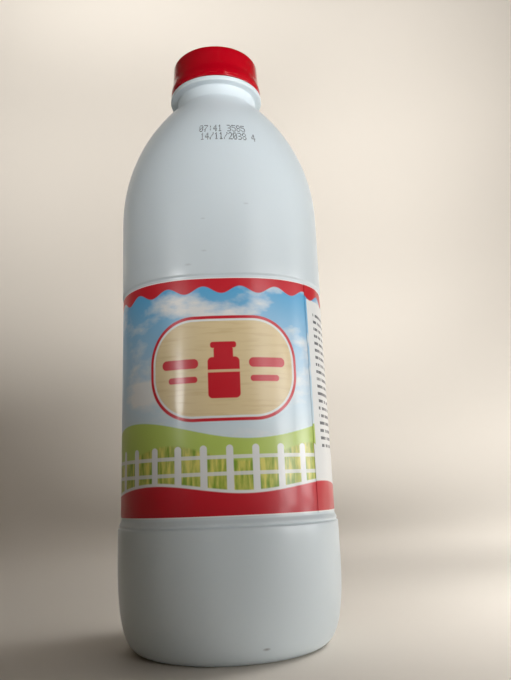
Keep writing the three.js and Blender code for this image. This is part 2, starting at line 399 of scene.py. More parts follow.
def shoulder_point(sizes, turn, height):
    """The point of the shoulder at an angle and a height."""
    centre = shoulder_centre(sizes)
    radius = centre[0] + math.sqrt(sizes.shoulder_arc_radius ** 2 - (height - centre[1]) ** 2)
    radius *= outline_factor(turn, squareness(sizes, height))
    return Vector((radius * math.cos(turn), radius * math.sin(turn), height))


# Modelling

def deselect_all():
    bpy.ops.object.select_all(action="DESELECT")


def extrude_profile(name, profile):
    """Starts a piece as one vertex and extrudes it along a profile. It stays in edit mode."""
    deselect_all()
    bpy.ops.mesh.primitive_plane_add(size=MM)
    piece = bpy.context.object
    piece.name = name
    piece.data.name = name
    bpy.ops.object.mode_set(mode="EDIT")
    bpy.ops.mesh.select_all(action="SELECT")
    bpy.ops.mesh.merge(type="CENTER")
    bpy.ops.transform.translate(value=(profile[0][0], 0, profile[0][1]))
    for (radius, height), (next_radius, next_height) in zip(profile, profile[1:]):
        move = (next_radius - radius, 0, next_height - height)
        bpy.ops.mesh.extrude_region_move(TRANSFORM_OT_translate={"value": move})
    return piece


def turn_profile(name, profile, steps):
    """Spins a profile round the bottle's axis into a closed piece. It stays in edit mode."""
    piece = extrude_profile(name, profile)
    bpy.ops.mesh.select_all(action="SELECT")
    bpy.ops.mesh.spin(steps=steps, angle=2 * math.pi, center=(0, 0, 0), axis=(0, 0, 1))
    bpy.ops.mesh.select_all(action="SELECT")
    bpy.ops.mesh.remove_doubles(threshold=WELD_DISTANCE)
    bpy.ops.mesh.normals_make_consistent(inside=False)
    return piece


def cut_along_parting_plane(half_width):
    """Cuts the piece in edit mode beside the plane where the mould's halves meet."""
    for offset in (-half_width, -half_width / 3, half_width / 3, half_width):
        bpy.ops.mesh.select_all(action="SELECT")
        bpy.ops.mesh.bisect(plane_co=(0, offset, 0), plane_no=(0, 1, 0))


def smooth_shade(piece, degrees):
    """Back to object mode, with smooth shading that keeps edges sharper than an angle."""
    bpy.ops.object.mode_set(mode="OBJECT")
    deselect_all()
    piece.select_set(True)
    bpy.context.view_layer.objects.active = piece
    bpy.ops.object.shade_smooth_by_angle(angle=math.radians(degrees))


def finish_piece(piece, material, slot, *nodes):
    """Gives a piece its material and its place in the frame."""
    piece.data.materials.clear()
    piece.data.materials.append(material)
    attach(piece, "root")
    if nodes:
        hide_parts(*nodes)


def shape_wall(piece, sizes):
    """Raises the parting line and the weld, lets the wall wander a little, and squares it off."""
    half_width = sizes.parting_line_width / 2
    for vertex in piece.data.vertices:
        x, y, z = vertex.co
        radius = math.hypot(x, y)
        if radius < WELD_DISTANCE:
            continue
        turn = math.atan2(y, x)
        on_line = abs(y) < half_width / 2
        above_foot = smoothstep(z, sizes.push_up_height, sizes.corner_top)
        below_neck = 1 - smoothstep(z, sizes.shoulder_start, sizes.ring_bottom)
        bulge = sizes.wall_waviness * above_foot * below_neck * wander(vertex.co)
        if on_line and radius > sizes.foot_outer_radius and z < sizes.panel_bottom:
            bulge += sizes.parting_line_height * smoothstep(z, 0, sizes.push_up_height)
        if on_line and z > sizes.upper_body_bottom:
            bulge += sizes.parting_line_height
        factor = outline_factor(turn, squareness(sizes, z)) * (1 + bulge / radius)
        vertex.co.x *= factor
        vertex.co.y *= factor
        if on_line and z <= sizes.push_up_height and abs(x) < sizes.weld_length / 2:
            vertex.co.z -= sizes.weld_height * (1 - (2 * x / sizes.weld_length) ** 4)


def wander(place):
    """A smooth value between about -1 and 1 that changes over a few centimetres."""
    across = 22 * MM
    upward = 50 * MM
    return noise.noise(Vector((place.x / across, place.y / across, place.z / upward)))


# Nodes

def add(tree, kind, wires=None, **settings):
    """Adds a node with its settings. wires gives its inputs, each a value or another node's output."""
    made = tree.nodes.new(kind)
    for name, value in settings.items():
        setattr(made, name, value)
    for place, value in (wires or {}).items():
        if isinstance(value, NodeSocket):
            tree.links.new(value, made.inputs[place])
        else:
            made.inputs[place].default_value = value
    return made


def new_material(name):
    """A material with an empty node tree, its Principled shader and the object's coordinates."""
    material = bpy.data.materials.new(name)
    material.use_nodes = True
    tree = material.node_tree
    tree.nodes.clear()
    shader = add(tree, "ShaderNodeBsdfPrincipled")
    output = add(tree, "ShaderNodeOutputMaterial")
    tree.links.new(shader.outputs["BSDF"], output.inputs["Surface"])
    place = add(tree, "ShaderNodeTexCoord").outputs["Object"]
    return material, tree, shader, place


def satin_blown_polyethylene(colours):
    """Opaque white high-density polyethylene, blown in a blasted mould. That gives the eye a satin
    white with a broad soft highlight, faint upright streaks from the parison and a few scuffs."""
    material, tree, shader, place = new_material("satin blown polyethylene")
    shader.inputs["IOR"].default_value = 1.54
    shader.inputs["Subsurface Weight"].default_value = 0.12
    shader.inputs["Subsurface Radius"].default_value = (1.0, 1.0, 0.9)
    shader.inputs["Subsurface Scale"].default_value = 2.0 * MM

    # The wall's thickness wanders over about 30 mm, and more slowly upwards
    drawn = add(tree, "ShaderNodeMapping", {"Vector": place, "Scale": (1, 1, 0.35)})
    cloud = add(tree, "ShaderNodeTexNoise", {"Vector": drawn.outputs[0], "Scale": 1 / (30 * MM),
                                             "Detail": 3.0})
    tone = add(tree, "ShaderNodeMix", {MIX_FACTOR: cloud.outputs["Fac"],
                                       MIX_BELOW: colours.white_polyethylene,
                                       MIX_ABOVE: colours.shaded_polyethylene}, data_type="RGBA")

    # Scuffs, wider than high, as the photo shows them: place, radius in millimetres and strength.
    # A scuff is at full strength in its core and gone at its rim.
    marks = ((9.8, -39.4, 157.8, 0.5, 0.3), (-6.1, -39.8, 152.1, 0.45, 0.25),
             (-6.0, -39.8, 139.7, 0.5, 0.25), (-11.8, -39.2, 134.8, 0.6, 0.3),
             (10.9, -37.5, 5.4, 0.6, 0.8), (-2.0, -38.0, 166.0, 0.3, 0.2))
    wider_than_high = (0.6, 0.6, 1.6)
    core_share = 0.3
    rim_share = 1.6
    scuffed = 0.0
    for x, y, z, radius, strength in marks:
        spot = (x * MM, y * MM, z * MM)
        core = core_share * radius * MM
        rim = rim_share * radius * MM
        moved = add(tree, "ShaderNodeVectorMath", {0: place, 1: spot}, operation="SUBTRACT")
        wide = add(tree, "ShaderNodeVectorMath", {0: moved.outputs[0], 1: wider_than_high},
                   operation="MULTIPLY")
        away = add(tree, "ShaderNodeVectorMath", {0: wide.outputs[0]}, operation="LENGTH")
        near = add(tree, "ShaderNodeMapRange", {"Value": away.outputs["Value"], "From Min": core,
                                                "From Max": rim, "To Min": strength, "To Max": 0.0})
        scuffed = add(tree, "ShaderNodeMath", {0: near.outputs[0], 1: scuffed}, operation="ADD").outputs[0]
    grubby = add(tree, "ShaderNodeMix", {MIX_FACTOR: scuffed, MIX_BELOW: tone.outputs[MIX_RESULT],
                                         MIX_ABOVE: colours.scuff_grey}, data_type="RGBA")
    tree.links.new(grubby.outputs[MIX_RESULT], shader.inputs["Base Color"])

    # Handling has polished some of the satin over about 12 mm
    polish = add(tree, "ShaderNodeTexNoise", {"Vector": place, "Scale": 1 / (12 * MM), "Detail": 4.0})
    gloss = add(tree, "ShaderNodeMapRange", {"Value": polish.outputs["Fac"], "From Min": 0.3,
                                             "From Max": 0.7, "To Min": 0.28, "To Max": 0.36})
    tree.links.new(gloss.outputs[0], shader.inputs["Roughness"])

    # The mould's blasted grain is about 0.15 mm and is drawn at 0.5 mm so that it shows
    grain = add(tree, "ShaderNodeTexNoise", {"Vector": place, "Scale": 1 / (0.5 * MM), "Detail": 2.0})
    fine = add(tree, "ShaderNodeBump", {"Height": grain.outputs["Fac"], "Strength": 0.10,
                                        "Distance": 0.05 * MM})

    # The parison's streaks are about 2.5 mm apart and run up the wall
    upright = add(tree, "ShaderNodeMapping", {"Vector": place, "Scale": (1, 1, 0.03)})
    streaks = add(tree, "ShaderNodeTexNoise", {"Vector": upright.outputs[0], "Scale": 1 / (2.5 * MM),
                                               "Detail": 2.0})
    long = add(tree, "ShaderNodeBump", {"Height": streaks.outputs["Fac"], "Strength": 0.2,
                                        "Distance": 0.04 * MM, "Normal": fine.outputs[0]})

    # The scuffs are pressed in a little
    pit = add(tree, "ShaderNodeBump", {"Height": scuffed, "Strength": 0.6, "Distance": 0.1 * MM,
                                       "Normal": long.outputs[0]}, invert=True)
    tree.links.new(pit.outputs[0], shader.inputs["Normal"])
    return material


def glossy_moulded_polyethylene(colours):
    """Red polyethylene injected into a polished mould. That gives the eye a deep glossy red with
    crisp small highlights and slightly duller flow marks."""
    material, tree, shader, place = new_material("glossy moulded polyethylene")
    shader.inputs["IOR"].default_value = 1.5

    # Flow marks are a few millimetres wide
    flow = add(tree, "ShaderNodeTexNoise", {"Vector": place, "Scale": 1 / (6 * MM), "Detail": 4.0,
                                            "Distortion": 0.8})
    tone = add(tree, "ShaderNodeMix", {MIX_FACTOR: flow.outputs["Fac"],
                                       MIX_BELOW: colours.red_polyethylene,
                                       MIX_ABOVE: colours.deep_red}, data_type="RGBA")
    tree.links.new(tone.outputs[MIX_RESULT], shader.inputs["Base Color"])
    gloss = add(tree, "ShaderNodeMapRange", {"Value": flow.outputs["Fac"], "From Min": 0.3, "From Max": 0.7,
                                             "To Min": 0.13, "To Max": 0.18})
    tree.links.new(gloss.outputs[0], shader.inputs["Roughness"])

    # Orange peel of about 0.8 mm
    peel = add(tree, "ShaderNodeTexNoise", {"Vector": place, "Scale": 1 / (0.8 * MM), "Detail": 1.0})
    bump = add(tree, "ShaderNodeBump", {"Height": peel.outputs["Fac"], "Strength": 0.12,
                                        "Distance": 0.04 * MM})
    tree.links.new(bump.outputs[0], shader.inputs["Normal"])
    return material


def sprayed_ink(colours):
    """Dark solvent ink, sprayed in dots. That gives the eye flat grey-black dots of uneven strength."""
    material, tree, shader, place = new_material("sprayed ink")
    shader.inputs["IOR"].default_value = 1.5

    # The ink runs a little thin about every 1.2 mm, and the white shows through there
    strength = add(tree, "ShaderNodeTexNoise", {"Vector": place, "Scale": 1 / (1.2 * MM), "Detail": 3.0})
    thin = add(tree, "ShaderNodeMapRange", {"Value": strength.outputs["Fac"], "From Min": 0.35,
                                            "From Max": 0.7, "To Min": 0.0, "To Max": 0.2})
    tone = add(tree, "ShaderNodeMix", {MIX_FACTOR: thin.outputs[0], MIX_BELOW: colours.ink_grey,
                                       MIX_ABOVE: colours.white_polyethylene}, data_type="RGBA")
    tree.links.new(tone.outputs[MIX_RESULT], shader.inputs["Base Color"])
    gloss = add(tree, "ShaderNodeMapRange", {"Value": strength.outputs["Fac"], "To Min": 0.45,
                                             "To Max": 0.65})
    tree.links.new(gloss.outputs[0], shader.inputs["Roughness"])

    # The dried ink has a grain of about 0.2 mm
    grain = add(tree, "ShaderNodeTexNoise", {"Vector": place, "Scale": 1 / (0.2 * MM), "Detail": 1.0})
    bump = add(tree, "ShaderNodeBump", {"Height": grain.outputs["Fac"], "Strength": 0.2,
                                        "Distance": 0.01 * MM})
    tree.links.new(bump.outputs[0], shader.inputs["Normal"])
    return material


def matt_painted_board(colours):
    """Pale matt paint on board. That gives the eye an even cream with hardly any sheen."""
    material, tree, shader, place = new_material("matt painted board")
    shader.inputs["Specular IOR Level"].default_value = 0.2
    shader.inputs["Base Color"].default_value = colours.floor_cream

    # Rolled paint varies in sheen over about 250 mm
    rolled = add(tree, "ShaderNodeTexNoise", {"Vector": place, "Scale": 1 / (250 * MM), "Detail": 2.0})
    gloss = add(tree, "ShaderNodeMapRange", {"Value": rolled.outputs["Fac"], "To Min": 0.55, "To Max": 0.75})
    tree.links.new(gloss.outputs[0], shader.inputs["Roughness"])
    return material


# The label's print. Its places are millimetres along the film from the seam and up from its foot.
# Each part of it is a list of layers from the lowest up, and a layer is a mask and its ink.

def patch(tree, place, centre, half, corner, soft=0.15):
    """Mask of a rounded rectangle."""
    core = [side - corner for side in half]
    moved = add(tree, "ShaderNodeVectorMath", {0: place, 1: (*centre, 0)}, operation="SUBTRACT")
    folded = add(tree, "ShaderNodeVectorMath", {0: moved.outputs[0]}, operation="ABSOLUTE")
    beyond = add(tree, "ShaderNodeVectorMath", {0: folded.outputs[0], 1: (*core, 0)}, operation="SUBTRACT")
    outside = add(tree, "ShaderNodeVectorMath", {0: beyond.outputs[0], 1: (0, 0, 0)}, operation="MAXIMUM")
    reach = add(tree, "ShaderNodeVectorMath", {0: outside.outputs[0]}, operation="LENGTH")
    mask = add(tree, "ShaderNodeMapRange", {"Value": reach.outputs["Value"], "From Min": corner - soft,
                                            "From Max": corner + soft, "To Min": 1.0, "To Max": 0.0})
    return mask.outputs[0]


def under_wave(tree, along, up, height, swell, pitch, phase, soft=0.2):
    """Mask of what lies below a waved line."""
    turn = add(tree, "ShaderNodeMath", {0: along, 1: 2 * math.pi / pitch, 2: phase},
               operation="MULTIPLY_ADD")
    wave = add(tree, "ShaderNodeMath", {0: turn.outputs[0]}, operation="SINE")
    line = add(tree, "ShaderNodeMath", {0: wave.outputs[0], 1: swell, 2: height}, operation="MULTIPLY_ADD")
    above = add(tree, "ShaderNodeMath", {0: up, 1: line.outputs[0]}, operation="SUBTRACT")
    mask = add(tree, "ShaderNodeMapRange", {"Value": above.outputs[0], "From Min": -soft, "From Max": soft,
                                            "To Min": 1.0, "To Max": 0.0})
    return mask.outputs[0]


def landscape_layers(tree, place, along, up, colours):
    """A high sky with soft clouds over two hills of grass, all printed on the low sky."""
    rise = add(tree, "ShaderNodeMapRange", {"Value": up, "From Min": 28.0, "From Max": 78.0})

    # Clouds of about 13 mm, drawn out along the film
    drawn = add(tree, "ShaderNodeMapping", {"Vector": place, "Scale": (0.55, 1, 1)})
    cloud = add(tree, "ShaderNodeTexNoise", {"Vector": drawn.outputs[0], "Scale": 1 / 13, "Detail": 5.0})
    cover = add(tree, "ShaderNodeMapRange", {"Value": cloud.outputs["Fac"], "From Min": 0.5,
                                             "From Max": 0.64})

    # Blades of grass about 1.8 mm wide, drawn out upwards
    blades = add(tree, "ShaderNodeMapping", {"Vector": place, "Scale": (1, 0.15, 1)})
    grass = add(tree, "ShaderNodeTexNoise", {"Vector": blades.outputs[0], "Scale": 1 / 1.8, "Detail": 4.0})
    dry = add(tree, "ShaderNodeMapRange", {"Value": grass.outputs["Fac"], "From Min": 0.4, "From Max": 0.62})
    meadow = add(tree, "ShaderNodeMix", {MIX_FACTOR: dry.outputs[0], MIX_BELOW: colours.near_green,
                                         MIX_ABOVE: colours.straw_yellow}, data_type="RGBA")

    far_hill = under_wave(tree, along, up, height=29.0, swell=3.5, pitch=88.7, phase=0.4)
    near_hill = under_wave(tree, along, up, height=21.0, swell=2.8, pitch=53.2, phase=2.0, soft=0.5)
    return [(rise.outputs[0], colours.sky_high), (cover.outputs[0], colours.film_white),
            (far_hill, colours.far_green), (near_hill, meadow.outputs[MIX_RESULT])]


def fence_layers(tree, place, colours):
    """A white picket fence along the near hill."""
    half_length = 133.0
    rail_heights = (14.0, 19.5)
    pitch = 8.87
    out_of_reach = 200
    masks = [patch(tree, place, centre=(half_length, height), half=(half_length, 0.6), corner=0.1)
             for height in rail_heights]
    limits = {1: (pitch / 2, out_of_reach, 1), 2: (-pitch / 2, -out_of_reach, -1)}
    repeated = add(tree, "ShaderNodeVectorMath", {0: place, **limits}, operation="WRAP")
    masks.append(patch(tree, repeated.outputs[0], centre=(0, 13.0), half=(1.2, 10.5), corner=1.2))
    return [(mask, colours.film_white) for mask in masks]


def plate_layers(tree, place, centre, sizes, colours):
    """A beige plate with a red rim, a red milk churn and two bars on each side of it."""
    x, y = centre
    half = (sizes.plate_half_width / MM, sizes.plate_half_height / MM)
    straight_half = 2.0
    corner = half[1] - straight_half
    layers = []
    for inset, ink in ((0.0, colours.print_red), (1.1, colours.film_white), (1.9, colours.plate_beige)):
        mask = patch(tree, place, centre, (half[0] - inset, half[1] - inset), corner - inset)
        layers.append((mask, ink))

    # Streaks of about 1.5 mm along the innermost face
    fibres = add(tree, "ShaderNodeMapping", {"Vector": place, "Scale": (0.12, 1, 1)})
    grain = add(tree, "ShaderNodeTexNoise", {"Vector": fibres.outputs[0], "Scale": 1 / 1.5, "Detail": 4.0})
    streak = add(tree, "ShaderNodeMapRange", {"Value": grain.outputs["Fac"], "From Min": 0.5,
                                              "From Max": 0.75})
    shade = add(tree, "ShaderNodeMath", {0: streak.outputs[0], 1: mask}, operation="MULTIPLY")
    layers.append((shade.outputs[0], colours.plate_shade))

    # Place from the plate's middle, half sides and corner of each red part
    churn = (((0, -3.5), (5.6, 7.2), 1.6), ((0, 4.6), (3.4, 2.6), 0.8), ((0, 8.0), (4.6, 1.1), 0.9))
    bars = (((-15.5, 1.6), (6.6, 1.7), 1.6), ((15.5, 1.6), (6.6, 1.7), 1.6),
            ((-14.5, -4.0), (5.2, 1.1), 1.0), ((14.5, -4.0), (5.2, 1.1), 1.0))
    for (across, above), size, rounding in churn + bars:
        mask = patch(tree, place, (x + across, y + above), size, rounding)
        layers.append((mask, colours.print_red))
    hoop = patch(tree, place, centre=(x, y - 1.2), half=(5.7, 0.45), corner=0.1)
    layers.append((hoop, colours.plate_beige))
    return layers


def rule_layers(tree, place, along, up, colours):
    """A plain white panel beside the seam, with rows of broken grey rules."""
    panel = patch(tree, place, centre=(38.5, 42.0), half=(37.5, 35.0), corner=0.3)
    row_pitch = 2.7
    row = add(tree, "ShaderNodeMath", {0: up, 1: row_pitch}, operation="DIVIDE")
    number = add(tree, "ShaderNodeMath", {0: row.outputs[0]}, operation="FLOOR")
    share = add(tree, "ShaderNodeMath", {0: row.outputs[0]}, operation="FRACT")
    thick = add(tree, "ShaderNodeMath", {0: share.outputs[0], 1: 0.5, 2: 0.2}, operation="COMPARE")

    # Each row stops at its own place
    chance = add(tree, "ShaderNodeTexWhiteNoise", {"W": number.outputs[0]}, noise_dimensions="1D")
    end = add(tree, "ShaderNodeMapRange", {"Value": chance.outputs["Value"], "To Min": 30.0, "To Max": 70.0})
    short = add(tree, "ShaderNodeMath", {0: along, 1: end.outputs[0]}, operation="LESS_THAN")

    # Each row is broken at its own places, because its noise starts somewhere else
    row_shift = 37.0
    shift = add(tree, "ShaderNodeMath", {0: number.outputs[0], 1: row_shift}, operation="MULTIPLY")
    shifted = add(tree, "ShaderNodeMath", {0: along, 1: shift.outputs[0]}, operation="ADD")
    strokes = add(tree, "ShaderNodeTexNoise", {"W": shifted.outputs[0], "Scale": 0.55, "Detail": 1.0},
                  noise_dimensions="1D")
    solid = add(tree, "ShaderNodeMath", {0: strokes.outputs["Fac"], 1: 0.42}, operation="GREATER_THAN")

    mask = patch(tree, place, centre=(38.0, 47.0), half=(33.0, 26.0), corner=0.2)
    for part in (thick, short, solid):
        mask = add(tree, "ShaderNodeMath", {0: mask, 1: part.outputs[0]}, operation="MULTIPLY").outputs[0]
    return [(panel, colours.film_white), (mask, colours.rule_grey)]


def band_layers(tree, along, up, sizes, colours):
    """The red band along the foot under a white line, the scalloped one along the top, and the
    unprinted margins."""
    height = (sizes.top - sizes.bottom) / MM
    band = sizes.band_height / MM
    line_width = 1.0
    foot_wave = {"swell": 1.6, "pitch": 66.5, "phase": 1.2}
    line = under_wave(tree, along, up, height=band + line_width, **foot_wave)
    foot = under_wave(tree, along, up, height=band, **foot_wave)
    depth = add(tree, "ShaderNodeMapRange", {"Value": up, "From Min": 0.0, "From Max": band})
    red = add(tree, "ShaderNodeMix", {MIX_FACTOR: depth.outputs[0], MIX_BELOW: colours.deep_print_red,
                                      MIX_ABOVE: colours.print_red}, data_type="RGBA")
    downward = add(tree, "ShaderNodeMath", {0: height, 1: up}, operation="SUBTRACT").outputs[0]
    head = under_wave(tree, along, downward, height=4.6, swell=1.3, pitch=13.3, phase=0.0)
    layers = [(line, colours.film_white), (foot, red.outputs[MIX_RESULT]), (head, colours.print_red)]
    for edge in (up, downward):
        bare = add(tree, "ShaderNodeMath", {0: edge, 1: sizes.margin / MM}, operation="LESS_THAN")
        layers.append((bare.outputs[0], colours.film_white))
    return layers


def printed_film(sizes, colours, front):
    """Clear shrink film, printed on its inside over white. That gives the eye bright inks under a
    smooth gloss, with faint upright draw lines and slightly duller patches."""
    material, tree, shader, place = new_material("printed shrink film")
    shader.inputs["IOR"].default_value = 1.5
    shader.inputs["Coat Weight"].default_value = 0.3
    shader.inputs["Coat Roughness"].default_value = 0.1
    film = add(tree, "ShaderNodeUVMap", uv_map="film_mm").outputs[0]
    apart = add(tree, "ShaderNodeSeparateXYZ", {0: film})
    along, up = apart.outputs["X"], apart.outputs["Y"]
    plate_height = 50.0
    layers = landscape_layers(tree, film, along, up, colours)
    layers += fence_layers(tree, film, colours)
    layers += plate_layers(tree, film, (front, plate_height), sizes, colours)
    layers += rule_layers(tree, film, along, up, colours)
    layers += band_layers(tree, along, up, sizes, colours)
    printed = colours.sky_low
    for mask, ink in layers:
        overprint = add(tree, "ShaderNodeMix", {MIX_FACTOR: mask, MIX_BELOW: printed, MIX_ABOVE: ink},
                        data_type="RGBA")
        printed = overprint.outputs[MIX_RESULT]
    tree.links.new(printed, shader.inputs["Base Color"])

    # Printed ink varies in gloss over about 9 mm, and the draw lines are about 1 mm apart
    patches = add(tree, "ShaderNodeTexNoise", {"Vector": place, "Scale": 1 / (9 * MM), "Detail": 3.0})
    gloss = add(tree, "ShaderNodeMapRange", {"Value": patches.outputs["Fac"], "From Min": 0.3,
                                             "From Max": 0.7, "To Min": 0.28, "To Max": 0.4})
    tree.links.new(gloss.outputs[0], shader.inputs["Roughness"])
    upright = add(tree, "ShaderNodeMapping", {"Vector": place, "Scale": (1, 1, 0.04)})
    lines = add(tree, "ShaderNodeTexNoise", {"Vector": upright.outputs[0], "Scale": 1 / (1 * MM),
                                             "Detail": 2.0})
    bump = add(tree, "ShaderNodeBump", {"Height": lines.outputs["Fac"], "Strength": 0.15,
                                        "Distance": 0.03 * MM})
    tree.links.new(bump.outputs[0], shader.inputs["Normal"])
    return material


# Operators

class BuildBottle(Operator):
    """Model the blown bottle, from its push-up to the neck inside the cap"""
    bl_idname = "milk_bottle.build_bottle"
    bl_label = "Bottle"

    def execute(self, context):
        sizes = context.scene.bottle_sizes
        profile = base_profile(sizes) + body_profile(sizes)
        profile += shoulder_profile(sizes) + neck_profile(sizes)
        piece = turn_profile("bottle_body", profile, sizes.steps_round)
        cut_along_parting_plane(sizes.parting_line_width / 2)
        bpy.ops.object.mode_set(mode="OBJECT")
        shape_wall(piece, sizes)
        smooth_shade(piece, degrees=40)
        material = satin_blown_polyethylene(context.scene.finish_colours)
        finish_piece(piece, material, "bottle_white", "bottle")
        return {"FINISHED"}


class BuildCap(Operator):
    """Model the screw cap with its tamper band, its score and the bridges across it"""
    bl_idname = "milk_bottle.build_cap"
    bl_label = "Cap"

    def execute(self, context):
        sizes = context.scene.cap_sizes
        piece = turn_profile("screw_cap", cap_profile(sizes), sizes.steps_round)
        bpy.ops.object.mode_set(mode="OBJECT")
        self.bridge_score(piece, sizes)
        smooth_shade(piece, degrees=35)
        material = glossy_moulded_polyethylene(context.scene.finish_colours)
        finish_piece(piece, material, "cap_red", "cap")
        return {"FINISHED"}

    def bridge_score(self, piece, sizes, bridge_steps=2):
        """Fills the score level with the band at each bridge."""
        score_height = sizes.band_top + sizes.score_width / 2
        steps_apart = sizes.steps_round // sizes.bridges
        for vertex in piece.data.vertices:
            x, y, z = vertex.co
            step = round(math.atan2(y, x) / (2 * math.pi) * sizes.steps_round)
            if abs(z - score_height) < WELD_DISTANCE and step % steps_apart < bridge_steps:
                vertex.co.x *= sizes.band_radius / math.hypot(x, y)
                vertex.co.y *= sizes.band_radius / math.hypot(x, y)


class BuildLabel(Operator):
    """Model the film that is wrapped round the panel, with one end lapped over the other"""
    bl_idname = "milk_bottle.build_label"
    bl_label = "Label"

    def execute(self, context):
        sizes = context.scene.label_sizes
        body = context.scene.bottle_sizes
        lengths, turns = self.film_path(sizes, body)
        lap_length = lengths[-1] - self.length_round_to(SEAM_ANGLE, lengths, turns)
        piece = self.flat_film(sizes, lengths[-1])
        for vertex in piece.data.vertices:
            along, up = vertex.co.x, vertex.co.y
            vertex.co = self.wrapped(along, up, lap_length, lengths, turns, sizes, body)
        bpy.ops.object.modifier_add(type="SOLIDIFY")
        solidify = piece.modifiers[-1]
        solidify.thickness = sizes.film_thickness
        solidify.offset = -1
        bpy.ops.object.modifier_apply(modifier=solidify.name)
        smooth_shade(piece, degrees=50)
        front = self.length_round_to(FRONT_ANGLE, lengths, turns) / MM
        material = printed_film(sizes, context.scene.finish_colours, front)
        finish_piece(piece, material, "label_film", "label")
        return {"FINISHED"}

    def film_path(self, sizes, body, steps=1440):
        """Lengths along the film from the seam, and the angles where they are reached."""
        turns = [SEAM_ANGLE + (2 * math.pi + LAP_ANGLE) * i / steps for i in range(steps + 1)]
        points = []
        for turn in turns:
            radius = sizes.radius * outline_factor(turn, body.body_squareness)
            points.append(Vector((radius * math.cos(turn), radius * math.sin(turn))))
        lengths = [0.0]
        for point, next_point in zip(points, points[1:]):
            lengths.append(lengths[-1] + (next_point - point).length)
        return lengths, turns

    def length_round_to(self, turn, lengths, turns):
        """Length along the film to an angle, once it has gone past the back."""
        return lengths[bisect_right(turns, turn + 2 * math.pi) - 1]

    def flat_film(self, sizes, film_length):
        """The film before it is wrapped, flat on the floor, with its print measured on it."""
        height = sizes.top - sizes.bottom
        deselect_all()
        bpy.ops.mesh.primitive_grid_add(x_subdivisions=sizes.steps_round,
                                        y_subdivisions=sizes.steps_up, size=1)
        piece = bpy.context.object
        piece.name = "label_film"
        piece.data.name = "label_film"
        bpy.ops.object.mode_set(mode="EDIT")
        bpy.ops.mesh.select_all(action="SELECT")
        bpy.ops.transform.resize(value=(film_length, height, 1))
        bpy.ops.transform.translate(value=(film_length / 2, height / 2, 0))
        bpy.ops.object.mode_set(mode="OBJECT")
        self.measure_print(piece)
        return piece

    def measure_print(self, piece):
        """Keeps each point's place on the flat film, in millimetres, as the print's UV map."""
        layer = piece.data.uv_layers[0]
        layer.name = "film_mm"
        for loop in piece.data.loops:
            flat = piece.data.vertices[loop.vertex_index].co
            layer.data[loop.index].uv = (flat.x / MM, flat.y / MM)

    def wrapped(self, along, up, lap_length, lengths, turns, sizes, body):
        """The place on the bottle of a point of the flat film."""
        lap_slope = 4 * MM
        edge_width = 1.8 * MM
        ripple_length = 5 * MM
        ripple_height = 9 * MM
        ripple_reach = 9 * MM
        calm_share = 0.25
        upper = min(max(bisect_right(lengths, along), 1), len(lengths) - 1)
        share = (along - lengths[upper - 1]) / (lengths[upper] - lengths[upper - 1])
        turn = turns[upper - 1] + (turns[upper] - turns[upper - 1]) * share
        height = sizes.top - sizes.bottom
        draft = (body.panel_bottom_radius - body.panel_top_radius) / (body.panel_top - body.panel_bottom)
        radius = sizes.radius - draft * (sizes.bottom + up - body.panel_bottom)
        lap_end = 1 - smoothstep(along, lap_length, lap_length + lap_slope)
        from_edge = min(up, height - up)
        drawn_in = 1 - smoothstep(from_edge, 0, edge_width)
        near_edge = 1 - smoothstep(from_edge, 0, ripple_reach)
        ripple = noise.noise(Vector((along / ripple_length, up / ripple_height, 0.0)))
        radius += sizes.lap_offset * lap_end - sizes.edge_draw_in * drawn_in
        radius += sizes.ripple * (calm_share + near_edge) * ripple * (1 - drawn_in)
        radius *= outline_factor(turn, body.body_squareness)
        return Vector((radius * math.cos(turn), radius * math.sin(turn), sizes.bottom + up))


